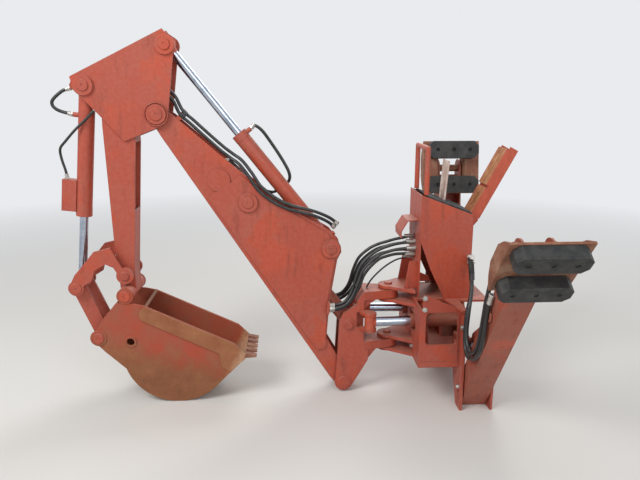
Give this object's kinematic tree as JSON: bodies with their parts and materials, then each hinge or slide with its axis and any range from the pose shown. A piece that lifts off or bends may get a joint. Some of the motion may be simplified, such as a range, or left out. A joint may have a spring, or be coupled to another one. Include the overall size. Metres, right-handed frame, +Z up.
{
  "type": "backhoe attachment",
  "caption": "Backhoe attachment with a swinging boom, dipper and toothed bucket, hydraulic cylinders, a control tower and folding stabilizer legs with padded feet.",
  "frame": {"origin": "on the ground under the middle of the whole object's bounding box, standing as it is parked", "axes": "+X from the bucket towards the tractor side, +Y to the right of an operator who faces the bucket, away from the camera, +Z up"},
  "size_m": [2.511, 1.6987, 2.0338],
  "materials": {
    "orange_paint": "weathered orange-red paint",
    "dark_paint": "weathered dark red paint",
    "rusty_steel": "rusty worn steel",
    "chrome_rod": "hard chrome",
    "rubber": "moulded black rubber",
    "black_sheet": "black painted sheet",
    "lever_steel": "worn steel"
  },
  "bodies": {
    "root": {"main_frame": "orange_paint", "rear_deck": "orange_paint", "leg_brackets": "orange_paint", "control_tower": "orange_paint", "lever_tray": "black_sheet", "grab_rail": "orange_paint", "control_levers": "lever_steel", "seat_arm": "rusty_steel", "hoses_tower": "rubber", "hoses_leg_left": "rubber", "hoses_leg_right": "rubber"},
    "swing_post": {"swing_post": "orange_paint", "hoses_post": "rubber"},
    "swing_barrel_left": {"swing_barrel_left": "dark_paint"},
    "swing_barrel_right": {"swing_barrel_right": "dark_paint"},
    "swing_rod_left": {"swing_rod_left": "chrome_rod"},
    "swing_rod_right": {"swing_rod_right": "chrome_rod"},
    "boom": {"boom": "orange_paint", "hoses_boom": "rubber", "hoses_head": "rubber", "hose_gland": "rubber"},
    "boom_barrel": {"boom_barrel": "dark_paint"},
    "boom_rod": {"boom_rod": "chrome_rod"},
    "dipper": {"dipper": "orange_paint", "hoses_bucket": "rubber"},
    "dipper_barrel": {"dipper_barrel": "orange_paint"},
    "dipper_rod": {"dipper_rod": "chrome_rod"},
    "bucket_barrel": {"bucket_barrel": "orange_paint"},
    "bucket_rod": {"bucket_rod": "chrome_rod"},
    "guide_links": {"guide_links": "orange_paint"},
    "bucket_link": {"bucket_link": "orange_paint"},
    "bucket": {"bucket": "rusty_steel", "bucket_teeth": "rusty_steel"},
    "leg_left": {"leg_left": "dark_paint"},
    "leg_right": {"leg_right": "dark_paint"},
    "leg_barrel_left": {"leg_barrel_left": "dark_paint"},
    "leg_barrel_right": {"leg_barrel_right": "dark_paint"},
    "leg_rod_left": {"leg_rod_left": "chrome_rod"},
    "leg_rod_right": {"leg_rod_right": "chrome_rod"},
    "foot_left": {"foot_left": "rusty_steel", "foot_pads_left": "rubber"},
    "foot_right": {"foot_right": "rusty_steel", "foot_pads_right": "rubber"}
  },
  "joints": [
    {"name": "swing", "type": "hinge", "parent": "root", "child": "swing_post", "pos_m": [0.567, 0.313, 0.42], "axis": [0, 0, 1], "range_deg": [-60, 60], "deforming": ["hoses_tower"]},
    {"name": "swing_barrel_turn_left", "type": "hinge", "parent": "root", "child": "swing_barrel_left", "pos_m": [0.757, 0.203, 0.448], "axis": [0, 0, 1], "range_deg": [-25.55, 25.55]},
    {"name": "swing_rod_slide_left", "type": "slide", "parent": "swing_barrel_left", "child": "swing_rod_left", "axis": [-0.999, -0.0451, 0], "range_m": [-0.1241, 0.1241]},
    {"name": "swing_barrel_turn_right", "type": "hinge", "parent": "root", "child": "swing_barrel_right", "pos_m": [0.757, 0.423, 0.448], "axis": [0, 0, 1], "range_deg": [-25.55, 25.55]},
    {"name": "swing_rod_slide_right", "type": "slide", "parent": "swing_barrel_right", "child": "swing_rod_right", "axis": [-0.999, 0.0451, 0], "range_m": [-0.1241, 0.1241]},
    {"name": "boom", "type": "hinge", "parent": "swing_post", "child": "boom", "pos_m": [0.302, 0.313, 0.062], "axis": [0, -1, 0], "range_deg": [-8, 70], "deforming": ["hoses_post"]},
    {"name": "boom_barrel_turn", "type": "hinge", "parent": "swing_post", "child": "boom_barrel", "pos_m": [0.329, 0.313, 0.42], "axis": [0, -1, 0], "range_deg": [-9.59, 76.15]},
    {"name": "boom_rod_slide", "type": "slide", "parent": "boom_barrel", "child": "boom_rod", "axis": [-0.6162, 0, 0.7876], "range_m": [-0.0492, 0.3913]},
    {"name": "dipper", "type": "hinge", "parent": "boom", "child": "dipper", "pos_m": [-0.69366, 0.313, 1.60696], "axis": [0, -1, 0], "range_deg": [-88, 8], "deforming": ["hoses_head"]},
    {"name": "dipper_barrel_turn", "type": "hinge", "parent": "boom", "child": "dipper_barrel", "pos_m": [0.22629, 0.313, 0.8662], "axis": [0, -1, 0], "range_deg": [-1.93, 1.08], "deforming": ["hose_gland"]},
    {"name": "dipper_rod_slide", "type": "slide", "parent": "dipper_barrel", "child": "dipper_rod", "axis": [-0.6176, 0, 0.7865], "range_m": [-0.4938, 0.0494]},
    {"name": "bucket", "type": "hinge", "parent": "dipper", "child": "bucket", "pos_m": [-0.90732, 0.313, 0.63517], "axis": [0, 1, 0], "range_deg": [-20, 70]},
    {"name": "bucket_barrel_turn", "type": "hinge", "parent": "dipper", "child": "bucket_barrel", "pos_m": [-1.05551, 0.313, 1.75409], "axis": [0, 1, 0], "range_deg": [-3.39, 1.68], "deforming": ["hoses_bucket"]},
    {"name": "bucket_rod_slide", "type": "slide", "parent": "bucket_barrel", "child": "bucket_rod", "axis": [-0.1124, 0, -0.9937], "range_m": [-0.3027, 0.0901]},
    {"name": "guide_turn", "type": "hinge", "parent": "dipper", "child": "guide_links", "pos_m": [-0.91005, 0.313, 0.73918], "axis": [0, 1, 0], "range_deg": [-20.61, 69.63]},
    {"name": "link_turn", "type": "hinge", "parent": "bucket", "child": "bucket_link", "pos_m": [-1.06749, 0.313, 0.39461], "axis": [0, 1, 0], "range_deg": [-23.53, 7.44]},
    {"name": "leg_left", "type": "hinge", "parent": "root", "child": "leg_left", "pos_m": [1.015, 0.013, 0.115], "axis": [1, 0, 0], "range_deg": [-29, 64], "deforming": ["hoses_leg_left"]},
    {"name": "leg_barrel_turn_left", "type": "hinge", "parent": "leg_left", "child": "leg_barrel_left", "pos_m": [1.015, -0.36725, 0.67875], "axis": [-1, 0, 0], "range_deg": [-1.96, 3.11]},
    {"name": "leg_rod_slide_left", "type": "slide", "parent": "leg_barrel_left", "child": "leg_rod_left", "axis": [0, 0.8092, -0.5876], "range_m": [-0.1128, 0.2429]},
    {"name": "foot_left", "type": "hinge", "parent": "leg_left", "child": "foot_left", "pos_m": [1.015, -0.63007, 1.06839], "axis": [-1, 0, 0], "range_deg": [0, 185]},
    {"name": "leg_right", "type": "hinge", "parent": "root", "child": "leg_right", "pos_m": [1.015, 0.613, 0.115], "axis": [-1, 0, 0], "range_deg": [-4, 89], "deforming": ["hoses_leg_right"]},
    {"name": "leg_barrel_turn_right", "type": "hinge", "parent": "leg_right", "child": "leg_barrel_right", "pos_m": [1.015, 0.71937, 0.78663], "axis": [1, 0, 0], "range_deg": [-1.03, 1.74]},
    {"name": "leg_rod_slide_right", "type": "slide", "parent": "leg_barrel_right", "child": "leg_rod_right", "axis": [0, -0.4118, -0.9113], "range_m": [-0.0197, 0.3327]},
    {"name": "foot_right", "type": "hinge", "parent": "leg_right", "child": "foot_right", "pos_m": [1.015, 0.7929, 1.25084], "axis": [1, 0, 0], "range_deg": [-180, 0]}
  ],
  "couplings": [
    {"joint": "swing_barrel_turn_left", "follows": "swing", "ratio": 0.40921},
    {"joint": "swing_rod_slide_left", "follows": "swing", "m_per_rad": -0.1137},
    {"joint": "swing_barrel_turn_right", "follows": "swing", "ratio": 0.40921},
    {"joint": "swing_rod_slide_right", "follows": "swing", "m_per_rad": 0.1137},
    {"joint": "boom_barrel_turn", "follows": "boom", "ratio": 1.0736},
    {"joint": "boom_rod_slide", "follows": "boom", "m_per_rad": 0.3162},
    {"joint": "dipper_barrel_turn", "follows": "dipper", "ratio": 0.01057},
    {"joint": "dipper_rod_slide", "follows": "dipper", "m_per_rad": 0.31825},
    {"joint": "bucket_barrel_turn", "follows": "bucket", "ratio": -0.03412},
    {"joint": "bucket_rod_slide", "follows": "bucket", "m_per_rad": -0.24371},
    {"joint": "guide_turn", "follows": "bucket", "ratio": 0.9805},
    {"joint": "link_turn", "follows": "bucket", "ratio": -0.32186},
    {"joint": "leg_barrel_turn_left", "follows": "leg_left", "ratio": 0.03299},
    {"joint": "leg_rod_slide_left", "follows": "leg_left", "m_per_rad": 0.21297},
    {"joint": "leg_barrel_turn_right", "follows": "leg_right", "ratio": 0.00834},
    {"joint": "leg_rod_slide_right", "follows": "leg_right", "m_per_rad": 0.21097}
  ]
}
